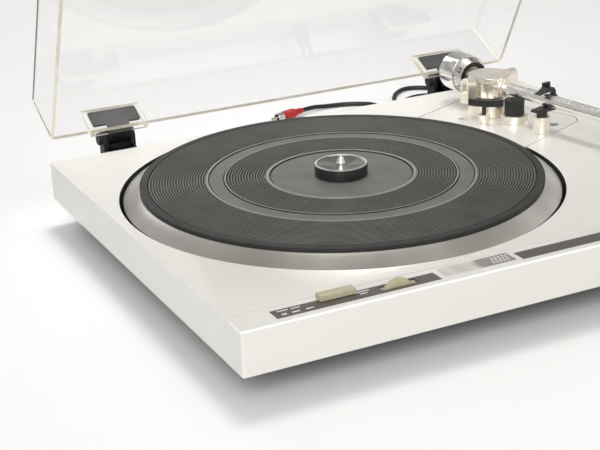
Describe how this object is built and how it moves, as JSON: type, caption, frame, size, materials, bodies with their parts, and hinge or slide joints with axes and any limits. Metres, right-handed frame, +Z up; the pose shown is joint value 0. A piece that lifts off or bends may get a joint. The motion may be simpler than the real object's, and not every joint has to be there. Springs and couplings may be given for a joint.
{
  "type": "turntable record player",
  "caption": "Direct-drive record player on a low plinth, with a balanced tonearm on its rest, front controls and a clear hinged dust cover standing open.",
  "frame": {"origin": "on the table under the middle of the player's outline, with the cover open and the leads left out", "axes": "+X to the player's right, +Y to its back where the cover is hinged, +Z up"},
  "size_m": [0.4575, 0.532, 0.3885],
  "materials": {
    "silver_paint": "pearl silver satin paint on moulded plastic",
    "panel_aluminium": "fine satin",
    "plate_grey": "dark anodised, fine grain",
    "platter_aluminium": "turned and polished",
    "arm_silver": "satin",
    "arm_tube_bright": "polished",
    "weight_chrome": "bright, fine turned",
    "bearing_steel": "ground",
    "mat_rubber": "matt, ribbed",
    "pad_rubber": "matt",
    "lead_rubber": "satin",
    "black_plastic": "matt",
    "cream_plastic": "satin",
    "clear_acrylic": "clear, polished",
    "smoked_acrylic": "glossy, smoked",
    "red_plastic": "satin",
    "white_plastic": "satin",
    "board_green": "solder resist",
    "coil_copper": "enamelled wire",
    "magnet_ferrite": "moulded",
    "zinc_screw": "zinc plated"
  },
  "bodies": {
    "cabinet": {"cabinet": "silver_paint", "front_strip": "silver_paint", "tonearm_panel": "panel_aluminium", "speed_plate": "plate_grey", "control_plate": "plate_grey", "arm_base": "arm_silver", "anti_skate_disc": "arm_silver", "arm_rest_post": "arm_silver", "transformer": "bearing_steel", "foot_pads": "pad_rubber", "lead_red_start": "lead_rubber", "lead_red_end": "lead_rubber", "lead_white_run": "lead_rubber", "lead_red_coil": "lead_rubber", "lead_white_coil": "lead_rubber", "feet": "black_plastic", "base_pan": "black_plastic", "arm_cradle": "black_plastic", "hinge_bracket_left": "black_plastic", "hinge_bracket_right": "black_plastic", "phono_gland": "black_plastic", "mains_gland": "black_plastic", "slide_switches": "black_plastic", "pitch_potentiometer": "black_plastic", "strobe_lamp": "black_plastic", "lift_cylinder": "black_plastic", "strobe_window": "smoked_acrylic", "plug_red": "red_plastic", "plug_white": "white_plastic", "motor_board": "board_green", "power_board": "board_green", "control_board": "board_green", "motor_coils": "coil_copper", "case_screws": "zinc_screw", "bearing_housing": "zinc_screw"},
    "platter": {"platter": "platter_aluminium", "rotor_magnet": "magnet_ferrite", "spindle": "bearing_steel", "platter_mat": "mat_rubber"},
    "adapter": {"record_adapter": "black_plastic"},
    "arm_yaw": {"arm_yoke": "arm_silver"},
    "tonearm": {"arm_pivot": "arm_silver", "arm_tube": "arm_tube_bright", "headshell": "arm_silver", "cartridge": "black_plastic", "stylus": "red_plastic", "arm_stub": "bearing_steel"},
    "counterweight": {"counterweight": "weight_chrome"},
    "force_dial": {"force_dial": "black_plastic"},
    "lift": {"lift_bar": "black_plastic"},
    "latch": {"arm_latch": "black_plastic"},
    "anti_skate": {"anti_skate_knob": "black_plastic"},
    "speed": {"speed_lever": "cream_plastic"},
    "cue": {"cue_lever": "cream_plastic"},
    "pitch": {"pitch_wheel": "cream_plastic"},
    "start": {"start_button": "panel_aluminium"},
    "stop": {"stop_button": "panel_aluminium"},
    "cover": {"dust_cover": "clear_acrylic", "hinge_leaf_left": "black_plastic", "hinge_leaf_right": "black_plastic"}
  },
  "joints": [
    {"name": "platter_spin", "type": "hinge", "parent": "cabinet", "child": "platter", "pos_m": [-0.0483, -0.0144, 0.05], "axis": [0, 0, -1], "continuous": true},
    {"name": "adapter_lift", "type": "slide", "parent": "platter", "child": "adapter", "axis": [0, 0, 1], "range_m": [0, 0.015]},
    {"name": "arm_swing", "type": "hinge", "parent": "cabinet", "child": "arm_yaw", "pos_m": [0.1382, 0.075, 0.0762], "axis": [0, 0, -1], "range_deg": [0, 54]},
    {"name": "arm_raise", "type": "hinge", "parent": "arm_yaw", "child": "tonearm", "pos_m": [0.1382, 0.075, 0.0762], "axis": [-0.9888, -0.1495, 0], "range_deg": [0, 1.6]},
    {"name": "weight_turn", "type": "hinge", "parent": "tonearm", "child": "counterweight", "pos_m": [0.1382, 0.117, 0.0762], "axis": [0, 1, 0], "continuous": true},
    {"name": "dial_turn", "type": "hinge", "parent": "counterweight", "child": "force_dial", "pos_m": [0.1382, 0.1026, 0.0762], "axis": [0, 1, 0], "continuous": true},
    {"name": "lift_rise", "type": "slide", "parent": "cabinet", "child": "lift", "axis": [0, 0, 1], "range_m": [0, 0.0012]},
    {"name": "latch_open", "type": "hinge", "parent": "cabinet", "child": "latch", "pos_m": [0.15487, 0.01026, 0.0778], "axis": [-0.1495, 0.9888, 0], "range_deg": [0, 38]},
    {"name": "anti_skate_turn", "type": "hinge", "parent": "cabinet", "child": "anti_skate", "pos_m": [0.141, 0.043, 0.06], "axis": [0, 0, -1], "range_deg": [0, 270]},
    {"name": "speed_slide", "type": "slide", "parent": "cabinet", "child": "speed", "axis": [1, 0, 0], "range_m": [0, 0.01]},
    {"name": "cue_slide", "type": "slide", "parent": "cabinet", "child": "cue", "axis": [1, 0, 0], "range_m": [0, 0.01]},
    {"name": "pitch_turn", "type": "hinge", "parent": "cabinet", "child": "pitch", "pos_m": [-0.1055, -0.193, 0.044], "axis": [0, 1, 0], "range_deg": [-120, 120]},
    {"name": "start_press", "type": "slide", "parent": "cabinet", "child": "start", "axis": [0, 0, -1], "range_m": [0, 0.002], "stiffness_N_per_m": 300},
    {"name": "stop_press", "type": "slide", "parent": "cabinet", "child": "stop", "axis": [0, 0, -1], "range_m": [0, 0.002], "stiffness_N_per_m": 300},
    {"name": "cover_close", "type": "hinge", "parent": "cabinet", "child": "cover", "pos_m": [0, 0.1709, 0.0557], "axis": [1, 0, 0], "range_deg": [0, 63.5]}
  ],
  "couplings": [
    {"joint": "arm_raise", "follows": "cue_slide", "rad_per_m": 2.7925},
    {"joint": "lift_rise", "follows": "cue_slide", "ratio": 0.12}
  ]
}
